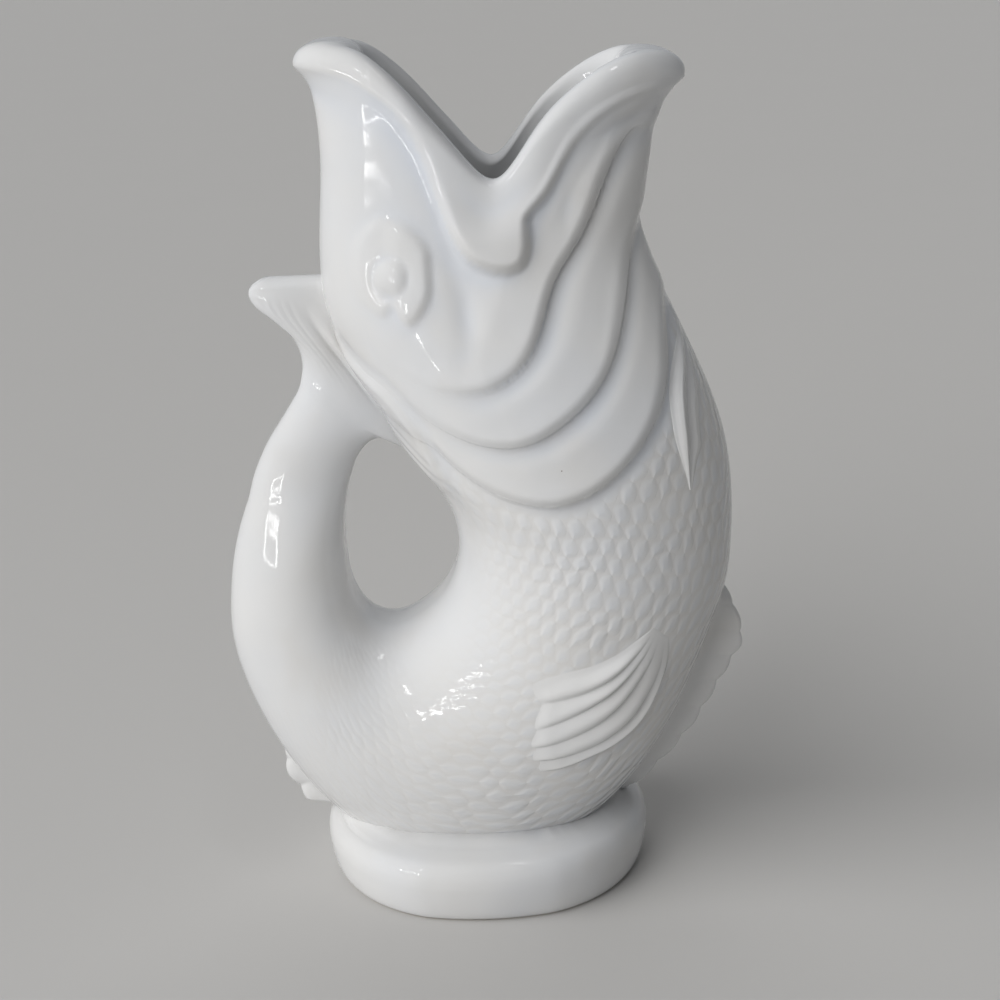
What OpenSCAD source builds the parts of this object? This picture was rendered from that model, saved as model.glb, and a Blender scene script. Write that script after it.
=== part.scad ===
// Fish-shaped gurgle jug: a hollow cast fish that gapes upwards, with its tail bent up as the handle.
// The jug stands on z = 0 with the belly towards +X, the tail towards -X, and is alike on both flanks.
// A station counts along the fish, from 0 at the rim of the mouth, round under the belly, to the tail.
// A turn counts round a section in degrees, from 0 on the belly line to 180 on the back line.

/* [Whole jug] */
// Height from the table to the upper jaw
jug_h = 245; // [200:1:300]
// Length from the bend of the tail to the belly fin
jug_len = 150; // [125:1:185]
// Width of the belly across its flanks
body_w = 79; // [66:1:96]

/* [Casting] */
// Thickness of the cast wall
wall = 5; // [4:0.5:6]
// Thickness of the fins where they leave the body
fin_root = 7; // [5:0.5:9]

/* [Plinth] */
// Length of the plinth
plinth_len = 97; // [90:1:110]
// Width of the plinth
plinth_w = 87; // [78:1:89]
// Height of the plinth, up to the seat of the belly
plinth_h = 20; // [16:1:24]
// How far the plinth stands off the middle of the jug, towards the tail
plinth_back = 3; // [0:0.5:8]
// Width of the ring that the jug stands on
foot_ring = 9; // [6:0.5:14]
// Depth of the hollow under the plinth
foot_hollow = 3.5; // [2:0.5:6]

/* [Gill folds] */
// Height of each step of the gill folds
fold_step = 1.8; // [0.8:0.1:2.5]

/* [Eye] */
// Radius of the eyeball
eye_r = 4.5; // [3.5:0.25:5.5]
// How far the eyeball stands out
eye_rise = 2.6; // [1.5:0.1:3.5]
// Width of the lid around the eyeball
lid_w = 6.3; // [4.5:0.1:8]
// How far the lid stands out
lid_rise = 2.2; // [1:0.1:3]

/* [Upper lip] */
// Thickness of the lip over the jaw
lip_rise = 2.4; // [1.2:0.1:3.5]

/* [Side fins] */
// Length of the pectoral fin, from its tip to its blunt end
pectoral_len = 47; // [40:1:52]
// Width of the pectoral fin at its blunt end
pectoral_w = 23; // [18:1:26]
// How far the pectoral fin stands out at its blunt end
pectoral_rise = 3.6; // [2:0.2:5]
// Number of rays of the pectoral fin
pectoral_rays = 6; // [4:1:7]
// Length of the pelvic fin
pelvic_len = 31; // [26:1:36]
// Width of the pelvic fin
pelvic_w = 14; // [10:0.5:16]
// How far the pelvic fin stands out
pelvic_rise = 3; // [1.5:0.25:4]

/* [Middle fins] */
// How far the belly fin stands out from the belly
belly_fin_reach = 13.5; // [10:0.5:15]
// Number of scallops on the belly fin
belly_fin_scallops = 8; // [5:1:10]
// How far the back fin stands out from the back
back_fin_reach = 8; // [6:0.5:10]
// Number of scallops on the back fin
back_fin_scallops = 4; // [3:1:5]
// Depth of a scallop
scallop_depth = 2; // [1:0.25:3]

/* [Hidden] */

glaze = "#eceae6";
glaze_shade = "#dedcd8";

// Sections of the fish, one row a station: the back point (x, z), the belly point (x, z), half the
// width, and how far the flanks dip below the line from back to belly, in the sizes they follow.
section_shares = [
    [-0.298, 0.983, 0.386, 0.962, 0.290, 0.134],
    [-0.278, 0.929, 0.336, 0.904, 0.325, 0.100],
    [-0.272, 0.869, 0.312, 0.844, 0.355, 0.078],
    [-0.278, 0.803, 0.302, 0.787, 0.385, 0.052],
    [-0.282, 0.735, 0.343, 0.718, 0.415, 0.028],
    [-0.264, 0.683, 0.394, 0.649, 0.440, 0.010],
    [-0.229, 0.635, 0.439, 0.583, 0.465, 0],
    [-0.189, 0.592, 0.464, 0.522, 0.480, 0],
    [-0.150, 0.543, 0.471, 0.464, 0.490, 0],
    [-0.101, 0.507, 0.469, 0.416, 0.497, 0],
    [-0.063, 0.467, 0.460, 0.365, 0.500, 0],
    [-0.051, 0.414, 0.408, 0.275, 0.500, 0],
    [-0.081, 0.360, 0.330, 0.165, 0.487, 0],
    [-0.142, 0.328, 0.178, 0.055, 0.455, 0],
    [-0.188, 0.319, -0.039, 0.010, 0.410, 0],
    [-0.230, 0.328, -0.222, 0.035, 0.360, 0],
    [-0.259, 0.355, -0.360, 0.110, 0.315, 0],
    [-0.271, 0.391, -0.452, 0.205, 0.278, 0],
    [-0.272, 0.440, -0.500, 0.299, 0.245, 0],
    [-0.265, 0.472, -0.498, 0.370, 0.215, 0],
    [-0.257, 0.497, -0.479, 0.434, 0.185, 0],
    [-0.250, 0.509, -0.442, 0.495, 0.160, 0],
    [-0.232, 0.532, -0.406, 0.537, 0.140, 0],
    [-0.212, 0.543, -0.378, 0.564, 0.125, 0],
    [-0.185, 0.549, -0.357, 0.583, 0.115, 0]];

// Catmull-Rom curve through the rows of a table, at a place counted in rows
function clamp(v, low, high) = max(low, min(high, v));
function row(table, i) = table[clamp(i, 0, len(table) - 1)];
function curve(a, b, c, d, t) =
    b + (c - a) * t / 2 + (a * 2 - b * 5 + c * 4 - d) * t * t / 2 + (b * 3 - a - c * 3 + d) * t * t * t / 2;
function along(table, s) = let (i = clamp(floor(s), 0, len(table) - 2))
    curve(row(table, i - 1), row(table, i), row(table, i + 1), row(table, i + 2), s - i);

// The same curve through a table that is spread evenly from the belly (0 degrees) to the back (180)
function round_half(table, t) = along(table, t * (len(table) - 1) / 180);

// How far the rim of the mouth dips below that line, from the belly to the back
rim_dip_shares = [-0.12, -0.116, -0.1, -0.06, 0.09, 0.4, 0.93, 0.56, 0.16, -0.055, -0.11, -0.14, -0.142];
// Stations over which the pointed dip of the rim turns into a plain curve
rim_fade_share = 2.5;

// Gill folds: the station of each crease, from the belly to the back
fold_station_shares = [
    [0.7, 0.78, 1.05, 2.9, 4.6, 5.5, 5.65, 5.15, 4.5, 4.05],
    [2.6, 2.9, 3.8, 5.1, 6.15, 6.85, 6.8, 6.2, 5.6, 5.4],
    [4.2, 4.5, 5.4, 6.5, 7.55, 8.15, 7.95, 7.2, 6.8, 6.7]];
// How much of its height a fold has, from the belly to the back
fold_height_shares = [0, 0.7, 1, 1, 1, 0.95, 0.55, 0.1, 0, 0];
// Stations that a crease takes, and the share of a fold that swells towards its crease
crease_share = 0.12;
swell_share = 0.4;

// Stations of the first row of the skin and of the first row that is the same all round
first_station_share = 0.12;
plain_station_share = 9.2;
// Stations where the body meets the tail, where the tail meets its fin, and where the cavity ends
joint_station_share = 16.5;
fan_station_share = 21;
tail_end_station_share = 24;
cavity_end_station_share = 20;

// Segments from the belly line to the back line, on the skin and in the cavity
skin_steps = 26;
cavity_steps = 13;
// Rows between the rim, the creases of the three folds and the first plain row
fold_rows = [8, 4, 4, 6];
plain_rows = 22;
cavity_rows = 20;
tail_rows = 9;
tail_cavity_rows = 5;
tail_end_rows = 4;

// The jaws close to a thick rounded tip: how far, and how fast it falls away from the rim
snout_fill = 14; // length of clay behind each jaw tip
snout_drop = 3; // fall of the outer skin at each jaw tip
snout_station_share = 0.6;
snout_fill_station_share = 1.6;
// How far the rows of the rounded rim lie into the wall, and how far they fall below the crest
rim_shares = [[0.15, 0.09], [0.5, 0], [0.85, 0.09], [1, 0.36]];
rim_tip_share = 0.6; // how much of the longer roll at the jaw tips falls too

// The fan of the tail: its outer edge (x, z) and half its thickness, at the stations 8 to 4 of the nape
// on which it leans, and the share of the thickness that its edge keeps
fan_shares = [
    [-0.340, 0.597, 0.107],
    [-0.322, 0.640, 0.096],
    [-0.341, 0.672, 0.086],
    [-0.395, 0.703, 0.078],
    [-0.404, 0.733, 0.060]];
fan_start_share = 8;
fan_first_share = 8.1;
fan_last_share = 4.05;
fan_edge_share = 0.3;
// How far the free end of the fan rises past its last row, and how much it thins and draws in there
fan_tip_rise = 1.6;
fan_tip_share = 0.45;
fan_tip_reach_share = 0.97;

seat_z = plinth_h;
seam = fin_root / 2;
// Room between the middle fins and the plinth
fin_clearance = 0.3;
// Small step, in stations and in degrees, that a slope is measured over
probe_share = 0.02;

function mix(a, b, f) = a + (b - a) * f;
function unit(v) = v / norm(v);

// Share of the dip at a turn: pointed at the rim, plain further down
function dip_share(s, t) =
    mix(round_half(rim_dip_shares, t), sin(t) * sin(t), clamp(s / rim_fade_share, 0, 1));
function tip_share(t) = let (c = cos(t) * cos(t)) c * c;
function snout_fall(s, t) = snout_drop * tip_share(t) * clamp(1 - s / snout_station_share, 0, 1);

// A point of the section r of the fish at station s and turn t, on the near side (-1) or the far side
// (1), drawn into the clay by inset
function section_point(r, s, t, side, inset) = let (
    back = [r[0] * jug_len, r[1] * jug_h],
    belly = [r[2] * jug_len, r[3] * jug_h],
    span = norm(belly - back),
    run = (belly - back) / span,
    wide = r[4] * body_w - inset,
    edge = min(seam, wide / 2),
    tip = inset / wall * snout_fill * tip_share(t) * clamp(1 - s / snout_fill_station_share, 0, 1),
    p = (back + belly) / 2 + run * (span / 2 - inset - tip) * cos(t))
    [p.x, side * (edge + (wide - edge) * sin(t)), p.y - r[5] * jug_h * dip_share(s, t)];
function skin(s, t, side, inset = 0) =
    section_point(along(section_shares, s), s, t, side, inset) - [0, 0, snout_fall(s, t)];

// Slopes of the skin along the fish and round it, on the near side, and the way out of the clay there
function slope_s(s, t) = (skin(s + probe_share, t, -1) - skin(s - probe_share, t, -1)) / (2 * probe_share);
function slope_t(s, t) = (skin(s, t + probe_share, -1) - skin(s, t - probe_share, -1)) / (2 * probe_share);
function outward(s, t) = unit(cross(slope_t(s, t), slope_s(s, t)));
function mirrored(v, side) = [v.x, -side * v.y, v.z];
function raised(s, t, side, h) = skin(s, t, side) + mirrored(outward(s, clamp(t, 1, 179)), side) * h;

// The belly of the fish is flat where it sits on the plinth
function seated(p, floor_z) = [p.x, p.y, max(p.z, floor_z)];

// Rows of the body, as the gap between creases and the share of that gap
body_rows = concat(
    [for (i = [0:3]) for (j = [0:fold_rows[i]]) [i, j / fold_rows[i]]],
    [for (j = [1:plain_rows]) [4, j / plain_rows]]);
function crease_station(i, t) =
    i == 0 ? first_station_share : i == 4 ? plain_station_share : i == 5 ? joint_station_share
    : round_half(fold_station_shares[i - 1], t);
function row_station(r, t) =
    mix(crease_station(r[0], t) + (r[0] > 0 && r[0] < 4 ? crease_share : 0),
        crease_station(r[0] + 1, t), r[1]);
function swell(f) = let (g = clamp((f - 1) / swell_share + 1, 0, 1)) g * sqrt(g);
function fold_height(r, t) =
    r[0] > 2 ? 0 : fold_step * round_half(fold_height_shares, t) * swell(r[1]);
function body_point(r, t, side) = let (s = row_station(r, t), h = fold_height(r, t))
    seated(h > 0 ? raised(s, t, side, h) : skin(s, t, side), seat_z);

// Points once round the fish: near side from belly to back, then far side from back to belly
function turns(steps) = concat(
    [for (k = [0:steps]) [180 * k / steps, -1]],
    [for (k = [0:steps]) [180 * (steps - k) / steps, 1]]);
function ring(s, steps, inset, floor_z) =
    [for (q = turns(steps)) seated(skin(s, q[0], q[1], inset), floor_z)];
function cavity(from, to, rows, floor_z) =
    [for (s = stations(from, to, rows)) ring(s, cavity_steps, wall, floor_z)];
function rim_ring(r) = [for (q = turns(skin_steps))
    let (tip = 1 + snout_fill / wall * tip_share(q[0]))
    section_point(along(section_shares, 0), 0, q[0], q[1], wall * r[0])
    - [0, 0, wall * r[1] * mix(1, tip, rim_tip_share)]];
function stations(a, b, rows) = [for (i = [0:rows]) mix(a, b, i / rows)];

function flat(lists) = [for (l = lists) for (v = l) v];
function flip(faces) = [for (f = faces) [f[2], f[1], f[0]]];

// Triangles between two rings of n points that start at a and b, alike on both flanks
function band(a, b, n) = [for (k = [0:n - 1]) let (m = (k + 1) % n)
    each k < n / 2 ? [[a + m, a + k, b + m], [a + k, b + k, b + m]]
        : [[a + m, a + k, b + k], [a + m, b + k, b + m]]];
function bands(a, count, n) = flat([for (i = [0:count - 2]) band(a + i * n, a + (i + 1) * n, n)]);

// Triangles between a ring of the skin at a and a ring of the cavity at b, which has half the segments
function stitch(a, b) = let (n = 2 * skin_steps + 2, m = 2 * cavity_steps + 2)
    concat(
        [for (j = [0:cavity_steps - 1]) each [
            [a + 2 * j + 1, a + 2 * j, b + j],
            [a + 2 * j + 1, b + j, b + j + 1],
            [a + 2 * j + 2, a + 2 * j + 1, b + j + 1],
            [b + m - 1 - j, a + n - 1 - 2 * j, a + n - 2 - 2 * j],
            [b + m - 2 - j, b + m - 1 - j, a + n - 2 - 2 * j],
            [b + m - 2 - j, a + n - 2 - 2 * j, a + n - 3 - 2 * j]]],
        [[a + skin_steps + 1, a + skin_steps, b + cavity_steps],
            [a + skin_steps + 1, b + cavity_steps, b + cavity_steps + 1],
            [a, a + n - 1, b + m - 1],
            [a, b + m - 1, b]]);

// Triangles that close a ring of n points, laid across from flank to flank, facing on along the fish
function lid(a, n) = [for (k = [0:n / 2 - 2]) each [
    [a + k + 1, a + k, a + n - 1 - k],
    [a + k + 1, a + n - 1 - k, a + n - 2 - k]]];

// Hollow head and belly, open at the mouth above and at the tail below
module body_shell() {
    n = 2 * skin_steps + 2;
    m = 2 * cavity_steps + 2;
    inner = cavity(joint_station_share, snout_station_share, cavity_rows, seat_z + wall);
    rim = [for (i = [len(rim_shares) - 1:-1:0]) rim_ring(rim_shares[i])];
    outer = [for (r = body_rows) [for (q = turns(skin_steps)) body_point(r, q[0], q[1])]];
    rings = concat(rim, outer);
    rim_at = len(inner) * m;
    last = rim_at + (len(rings) - 1) * n;
    faces = concat(
        bands(0, len(inner), m),
        flip(stitch(rim_at, rim_at - m)),
        bands(rim_at, len(rings), n),
        stitch(last, 0));
    color(glaze) polyhedron(points = concat(flat(inner), flat(rings)), faces = faces);
}

// Hollow tail, bent up behind the back: its cavity is open to the belly and blind at the top
module tail_handle() {
    n = 2 * skin_steps + 2;
    m = 2 * cavity_steps + 2;
    inner = cavity(cavity_end_station_share, joint_station_share, tail_cavity_rows, 0);
    outer = [for (s = stations(joint_station_share, fan_station_share, tail_rows))
        ring(s, skin_steps, 0, 0)];
    skin_at = len(inner) * m;
    last = skin_at + (len(outer) - 1) * n;
    faces = concat(
        flip(lid(0, m)),
        flip([for (i = [0:len(inner) - 2]) each band((i + 1) * m, i * m, m)]),
        flip(stitch(skin_at, skin_at - m)),
        bands(skin_at, len(outer), n),
        lid(last, n));
    color(glaze) polyhedron(points = concat(flat(inner), flat(outer)), faces = faces);
}

// One row of the fan, from the nape at station s out to the free edge, lifted and thinned at its end
function fan_ring(s, lift, thin) = let (
    r = along(fan_shares, clamp(fan_start_share - s, 0, len(fan_shares) - 1)),
    a = [nape(s).x - lift, nape(s).z + lift],
    b = [r[0] * jug_len, r[1] * jug_h + lift])
    [for (q = turns(skin_steps)) let (
        c = cos(q[0]),
        p = (a + b) / 2 + (b - a) / 2 * c * (lift > 0 ? fan_tip_reach_share : 1),
        edge = seam * mix(1, fan_edge_share, (1 + c) / 2) * thin)
        [p.x, q[1] * (edge + (r[2] * body_w * thin - edge) * sin(q[0])), p.y]];
function nape(s) = skin(s, 180, -1);

// Solid fan that carries on the tail, leans on the nape and closes the finger hole
module tail_fin() {
    n = 2 * skin_steps + 2;
    leaning = [for (i = [len(body_rows) - 1:-1:0]) let (s = row_station(body_rows[i], 180))
        if (s < fan_first_share && s > fan_last_share - probe_share) s];
    rings = concat(
        [for (s = stations(fan_station_share, tail_end_station_share, tail_end_rows))
            ring(s, skin_steps, 0, 0)],
        [for (s = leaning) fan_ring(s, 0, 1)],
        [fan_ring(fan_last_share, fan_tip_rise, fan_tip_share)]);
    faces = concat(flip(lid(0, n)), bands(0, len(rings), n), lid((len(rings) - 1) * n, n));
    color(glaze_shade) polyhedron(points = flat(rings), faces = faces);
}

// Middle fins: rows of six points from the root on the belly line out to the edge. The root follows
// the rows of the body, and the tables give the reach along each fin.
fin_rows = 6; // rows of a fin to each row of the body
fin_body_share = 0.72; // thickness half way out, as a share of the root
fin_tip_share = 0.4; // thickness at the edge
belly_fin_station_shares = [10.1, 12.9];
belly_fin_shares = [0.06, 0.6, 1, 0.93, 0.84, 0.76, 0.64, 0.5, 0.34];
back_fin_station_shares = [15.4, 16.6];
back_fin_shares = [0.7, 1, 1, 0.9, 0.7, 0.1];

function belly_row(s) = let (p = seated(skin(s, 0, -1), seat_z)) [p.x, p.z];
function belly_out(s) = let (a = skin(s - probe_share, 0, -1), b = skin(s + probe_share, 0, -1), d = b - a)
    [-d.z, d.x] / norm(d);
function fin_point(root, out, q, thick) = let (p = root + out * q)
    [p.x, thick, q > 0 ? max(p.y, seat_z + fin_clearance) : p.y];
function fin_ring(root, out, reach) = let (
    half = [[0, 1], [0.5, fin_body_share], [1, fin_tip_share]])
    concat([for (q = half) fin_point(root, out, reach * q[0], -seam * q[1])],
        [for (i = [2:-1:0]) fin_point(root, out, reach * half[i][0], seam * half[i][1])]);

module middle_fin(ends, shares, reach, count) {
    at = [for (r = body_rows) if (r[0] == 4) let (s = row_station(r, 0)) if (s > ends[0] && s < ends[1]) s];
    last_row = len(at) - 1;
    rings = [for (i = [0:last_row - 1]) for (j = [0:fin_rows - (i == last_row - 1 ? 0 : 1)]) let (
        f = j / fin_rows,
        s = mix(at[i], at[i + 1], f),
        u = (s - at[0]) / (at[last_row] - at[0]),
        high = reach * along(shares, u * (len(shares) - 1)),
        dent = min(scallop_depth, high / 2) * (1 - abs(sin(180 * u * count))))
        fin_ring(mix(belly_row(at[i]), belly_row(at[i + 1]), f), belly_out(s), high - dent)];
    n = len(rings[0]);
    last = (len(rings) - 1) * n;
    end_faces = [[0, 1, 5], [1, 4, 5], [1, 2, 4], [2, 3, 4]];
    faces = concat(flip(end_faces),
        [for (i = [0:len(rings) - 2]) for (k = [0:n - 1]) let (a = i * n, b = a + n, m = (k + 1) % n)
            each [[b + k, a + k, a + m], [b + m, b + k, a + m]]],
        [for (f = end_faces) f + [last, last, last]]);
    color(glaze_shade) polyhedron(points = flat(rings), faces = faces);
}
module belly_fin() {
    middle_fin(belly_fin_station_shares, belly_fin_shares, belly_fin_reach, belly_fin_scallops);
}
module back_fin() {
    middle_fin(back_fin_station_shares, back_fin_shares, back_fin_reach, back_fin_scallops);
}

// Side details are pressed onto the skin. Each has a middle at a station and a turn, and a heading, in
// degrees from the way down the fish towards the back. Its plan is drawn from there in lengths.
bed = 0.4; // depth that a detail is pressed into the skin
sprig_edge = 0.4; // thickness of a detail at its edge

// Station and turn of the place that lies q = (along, across) from the middle of a detail
function spot(place, heading, q) = let (
    a = slope_s(place[0], place[1]),
    b = slope_t(place[0], place[1]),
    down = unit(a),
    over = cross(down, outward(place[0], place[1])),
    v = down * (cos(heading) * q[0] - sin(heading) * q[1])
        + over * (sin(heading) * q[0] + cos(heading) * q[1]),
    det = (a * a) * (b * b) - (a * b) * (a * b))
    [place[0] + ((v * a) * (b * b) - (v * b) * (a * b)) / det,
        place[1] + ((v * b) * (a * a) - (v * a) * (a * b)) / det];

// Height of the gill folds at any station and turn
function fold_over(s, t) = max([for (i = [0:2]) let (
    start = crease_station(i, t) + (i > 0 ? crease_share : 0),
    end = crease_station(i + 1, t))
    s <= end ? fold_height([i, (s - start) / (end - start)], t)
        : fold_height([i, 1], t) * max(1 - (s - end) / crease_share, 0)]);
function laid(place, side, h) = raised(place[0], place[1], side, fold_over(place[0], place[1]) + h);

// One closed row of a detail: under it from edge to edge, then back over it
function sprig_row(places, heights, side) = let (last = len(places) - 1)
    concat([for (q = places) laid(q, side, -bed)],
        [for (i = [last:-1:0]) laid(places[i], side, max(heights[i], sprig_edge))]);
module sprig(rows, side) {
    n = len(rows[0]);
    faces = concat(flip(lid(0, n)), bands(0, len(rows), n), lid((len(rows) - 1) * n, n));
    color(glaze) polyhedron(points = flat(rows), faces = side < 0 ? faces : flip(faces));
}

// Upper lip: its lower edge (station, turn) and its edge at the rim, from the snout to the corner
lip_shares = [
    [0.50, 174, 0.14, 177],
    [0.39, 150, 0.14, 152],
    [0.36, 138, 0.14, 136],
    [0.42, 130, 0.14, 124],
    [0.52, 120, 0.14, 112],
    [0.75, 112, 0.14, 101],
    [1.20, 106.5, 0.20, 92],
    [1.75, 102, 0.60, 82],
    [2.20, 97.5, 1.20, 77],
    [2.50, 92, 1.80, 75],
    [2.65, 86, 2.30, 76.5],
    [2.70, 82.5, 2.60, 79.5]];
lip_rows = 24;
// Across the lip, from its lower edge to the rim: the place and the height
lip_section_shares = [[0, 0.3], [0.1, 0.8], [0.4, 1], [0.75, 0.75], [1, 0.1]];
lip_taper_share = 7; // how quickly the lip thins to its end, and the height that it keeps there
lip_end_share = 0.2;

module lip(side) {
    sprig([for (i = [0:lip_rows]) let (
        f = i / lip_rows,
        r = along(lip_shares, f * (len(lip_shares) - 1)),
        full = lip_rise * min(1, (1 - f) * lip_taper_share + lip_end_share))
        sprig_row([for (q = lip_section_shares) mix([r[0], r[1]], [r[2], r[3]], q[0])],
            [for (q = lip_section_shares) full * q[1]], side)], side);
}
module lip_near() lip(-1);
module lip_far() lip(1);

// Eye: a domed eyeball in an oval lid
eye_place_shares = [3.12, 123];
eye_heading = -15;
eye_points = 18;
lid_long_share = 1.26; // how much longer the lid is than wide
lid_shift_share = -0.11; // how far the lid lies off the eyeball, towards the mouth
// Rings of the underside, of the lid from its outline in to the eyeball, and of the eyeball
bed_shares = [0.08, 0.5, 1];
lid_shares = [[1, 0.1], [0.78, 0.62], [0.45, 1], [0.15, 0.7], [0, 0.3]];
ball_shares = [[0.9, 0.5], [0.6, 0.85], [0.1, 1]];

function eye_ring(side, out, size, h) = [for (i = [eye_points - 1:-1:0]) let (
    turn = 360 * (i + 1 / 2) / eye_points,
    long = mix(eye_r, (eye_r + lid_w) * lid_long_share, out),
    short = eye_r + lid_w * out,
    q = size * [long * (cos(turn) + lid_shift_share * out), short * sin(turn)])
    laid(spot(eye_place_shares, eye_heading, q), side, h)];
module eye(side) {
    sprig(concat(
        [for (q = bed_shares) eye_ring(side, 1, q, -bed)],
        [for (q = lid_shares) eye_ring(side, q[0], 1, max(lid_rise * q[1], sprig_edge))],
        [for (q = ball_shares) eye_ring(side, 0, q[0], eye_rise * q[1])]), side);
}
module eye_near() eye(-1);
module eye_far() eye(1);

// Pectoral fin: its upper and its lower edge, in shares of length and width, from the tip to the blunt end
pectoral_place_shares = [11.55, 76];
pectoral_heading = 30;
pectoral_shares = [
    [-0.520, -0.04, -0.520, -0.10],
    [-0.435, 0.15, -0.332, -0.36],
    [-0.118, 0.16, -0.080, -0.46],
    [0.110, 0.28, 0.180, -0.45],
    [0.298, 0.45, 0.480, -0.55]];
pectoral_rows = 7;
// Each ray laps over the next: its places across and their heights
ray_shares = [[0.04, 0.5], [0.5, 0.92], [0.96, 1]];
ray_round = 1.6; // how far the end of a ray bulges
pectoral_tip_share = 0.25; // height at the tip, as a share of the blunt end

module pectoral_fin(side) {
    across = [for (j = [0:pectoral_rays - 1]) for (q = ray_shares)
        [j + q[0], j == 0 && q == ray_shares[0] ? 0 : q[1]]];
    sprig([for (i = [0:pectoral_rows]) let (
        f = i / pectoral_rows,
        r = along(pectoral_shares, f * (len(pectoral_shares) - 1)),
        round_out = i < pectoral_rows ? 0 : ray_round,
        full = pectoral_rise * mix(pectoral_tip_share, 1, f),
        places = [for (q = across) let (c = q[0] / pectoral_rays) [
            mix(r[0], r[2], c) * pectoral_len + round_out * sin(180 * (q[0] - floor(q[0]))),
            mix(r[1], r[3], c) * pectoral_w]])
        sprig_row([for (q = places) spot(pectoral_place_shares, pectoral_heading, q)],
            [for (q = across) full * q[1]], side)], side);
}
module pectoral_fin_near() pectoral_fin(-1);
module pectoral_fin_far() pectoral_fin(1);

// Pelvic fin: a leaf with a ridge near its back edge. Its rows give the place along it and its two edges.
pelvic_place_shares = [6.5, 36];
pelvic_heading = 18;
pelvic_shares = [
    [-0.53, 0.07, -0.13],
    [-0.36, 0.27, -0.33],
    [-0.13, 0.47, -0.53],
    [0.10, 0.40, -0.57],
    [0.29, 0.25, -0.43],
    [0.47, 0.07, -0.10]];
pelvic_rows = 8;
// Across the leaf, from its back edge: the place and the height
leaf_shares = [[0, 0.2], [0.14, 0.8], [0.28, 1], [0.48, 0.55], [0.68, 0.6], [0.86, 0.5], [1, 0.1]];
leaf_end_share = 0.35; // height at both ends, as a share of the middle

module pelvic_fin(side) {
    sprig([for (i = [0:pelvic_rows]) let (
        f = i / pelvic_rows,
        r = along(pelvic_shares, f * (len(pelvic_shares) - 1)),
        full = pelvic_rise * mix(leaf_end_share, 1, sin(180 * f)))
        sprig_row([for (q = leaf_shares) spot(pelvic_place_shares, pelvic_heading,
                [r[0] * pelvic_len, mix(r[1], r[2], q[0]) * pelvic_w])],
            [for (q = leaf_shares) full * q[1]], side)], side);
}
module pelvic_fin_near() pelvic_fin(-1);
module pelvic_fin_far() pelvic_fin(1);

// Side of the plinth from the table up, as how far it lies in from its widest line and its height
plinth_side_shares = [
    [0.16, 0], [0.10, 0.05], [0.045, 0.18], [0.012, 0.36], [0, 0.54],
    [0.02, 0.7], [0.07, 0.83], [0.15, 0.92], [0.26, 0.97], [0.4, 1]];

// Oval plinth: two half rounds and a straight length between them, hollowed inside its foot ring
module foot_plinth() {
    half_straight = (plinth_len - plinth_w) / 2;
    side = [for (q = plinth_side_shares) [plinth_w / 2 - q[0] * plinth_h, q[1] * plinth_h]];
    foot_in = side[0].x - foot_ring;
    hollow = [[0, foot_hollow], [foot_in - foot_hollow, foot_hollow], [foot_in, 0]];
    outline = concat(hollow, side, [[0, plinth_h]]);
    other = [for (i = [len(outline) - 2:-1:1]) [-outline[i].x, outline[i].y]];
    color(glaze) translate([-plinth_back, 0, 0]) {
        for (end = [0, 1])
            rotate([0, 0, end * 180 - 90]) translate([0, half_straight, 0])
                rotate_extrude(angle = 180, $fn = 96) polygon(outline);
        rotate([90, 0, 90]) translate([0, 0, -half_straight])
            linear_extrude(2 * half_straight) polygon(concat(outline, other));
    }
}

body_shell();
tail_handle();
tail_fin();
foot_plinth();
belly_fin();
back_fin();
lip_near();
lip_far();
eye_near();
eye_far();
pectoral_fin_near();
pectoral_fin_far();
pelvic_fin_near();
pelvic_fin_far();
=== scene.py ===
import math

import bmesh
import bpy
import numpy as np
from mathutils import Matrix, Vector


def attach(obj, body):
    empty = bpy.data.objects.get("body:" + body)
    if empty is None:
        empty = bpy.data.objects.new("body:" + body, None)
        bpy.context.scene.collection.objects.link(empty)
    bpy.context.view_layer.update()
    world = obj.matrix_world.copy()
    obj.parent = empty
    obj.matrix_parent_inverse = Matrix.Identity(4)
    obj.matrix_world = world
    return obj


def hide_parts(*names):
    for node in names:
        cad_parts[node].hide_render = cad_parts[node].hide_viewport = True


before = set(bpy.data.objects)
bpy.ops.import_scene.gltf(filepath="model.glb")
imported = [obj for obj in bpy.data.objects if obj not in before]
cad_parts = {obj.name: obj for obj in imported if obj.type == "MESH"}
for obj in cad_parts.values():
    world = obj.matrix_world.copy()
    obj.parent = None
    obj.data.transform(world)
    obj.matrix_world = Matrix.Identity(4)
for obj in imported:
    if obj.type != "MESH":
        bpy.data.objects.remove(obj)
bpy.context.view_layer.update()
print("stage: frame loaded")

shot = {
    "place": (0.00442, -0.4858, 0.2802),
    "pitch": 71.1,  # from straight down
    "roll": -2.2, "field": 31.38,
}


def addCamera():
    bpy.ops.object.camera_add(location=shot["place"])
    camera = bpy.context.object
    camera.name = "photoCamera"
    pitch = Matrix.Rotation(math.radians(shot["pitch"]), 4, "X")
    roll = Matrix.Rotation(math.radians(shot["roll"]), 4, "Z")
    camera.rotation_euler = (pitch @ roll).to_euler()
    camera.data.sensor_fit = "VERTICAL"
    camera.data.angle = math.radians(shot["field"])
    camera.data.clip_start = 0.01
    bpy.context.scene.camera = camera


addCamera()
print("stage: camera set")

milli = 0.001  # the fish is worked out in millimetres and set down in metres

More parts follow.
